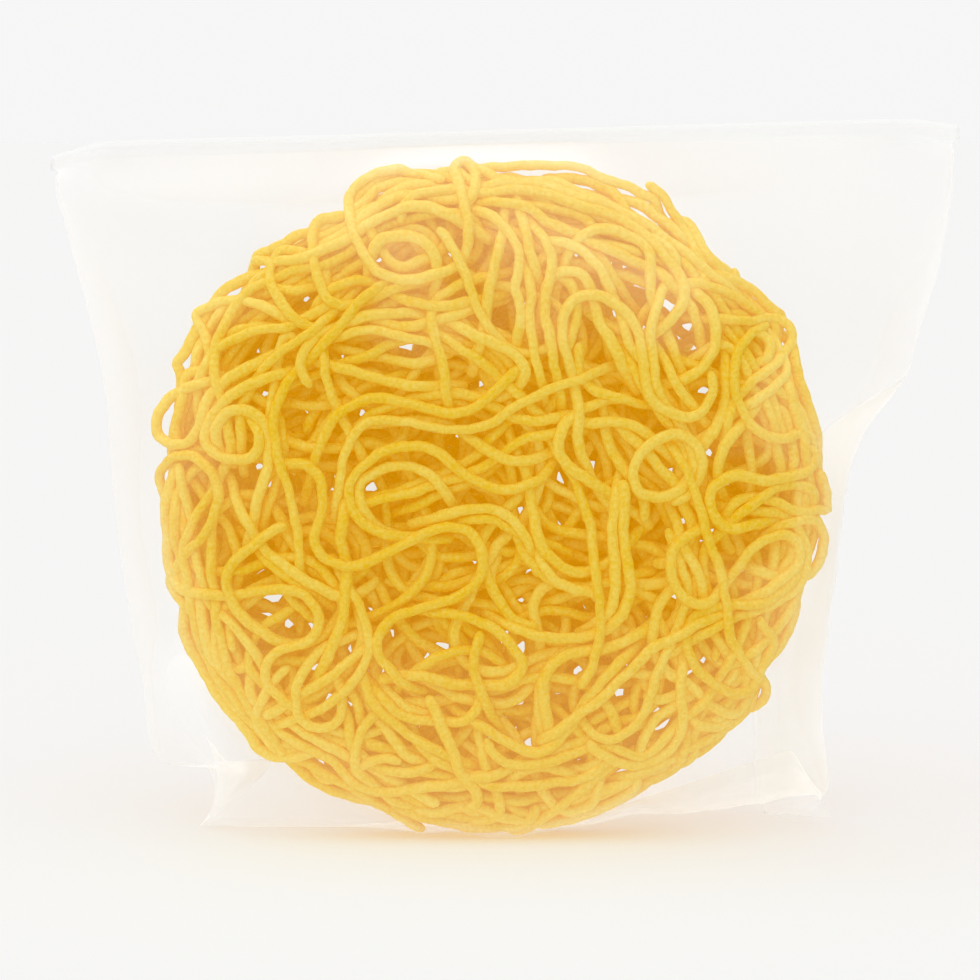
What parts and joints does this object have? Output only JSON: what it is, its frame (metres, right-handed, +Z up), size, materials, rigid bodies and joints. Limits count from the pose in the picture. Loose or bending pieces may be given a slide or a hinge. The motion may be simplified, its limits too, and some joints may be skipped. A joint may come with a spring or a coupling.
{
  "type": "pack of fried egg noodles",
  "caption": "Round cake of tangled fried egg noodles standing on its rim in a clear film bag, heat-sealed straight across the top and bottom.",
  "frame": {"origin": "on the floor, under the middle of the bag's overall box", "axes": "+X along the top seal, to the right of someone facing the cake's broad front face; the front face looks along -Y; +Z up"},
  "size_m": [0.2013, 0.042, 0.1594],
  "materials": {
    "clear_film": "clear glossy film",
    "fried_noodles": "fried, slightly oily"
  },
  "bodies": {
    "root": {"sealed_noodle_bag": "clear_film"}
  },
  "joints": []
}
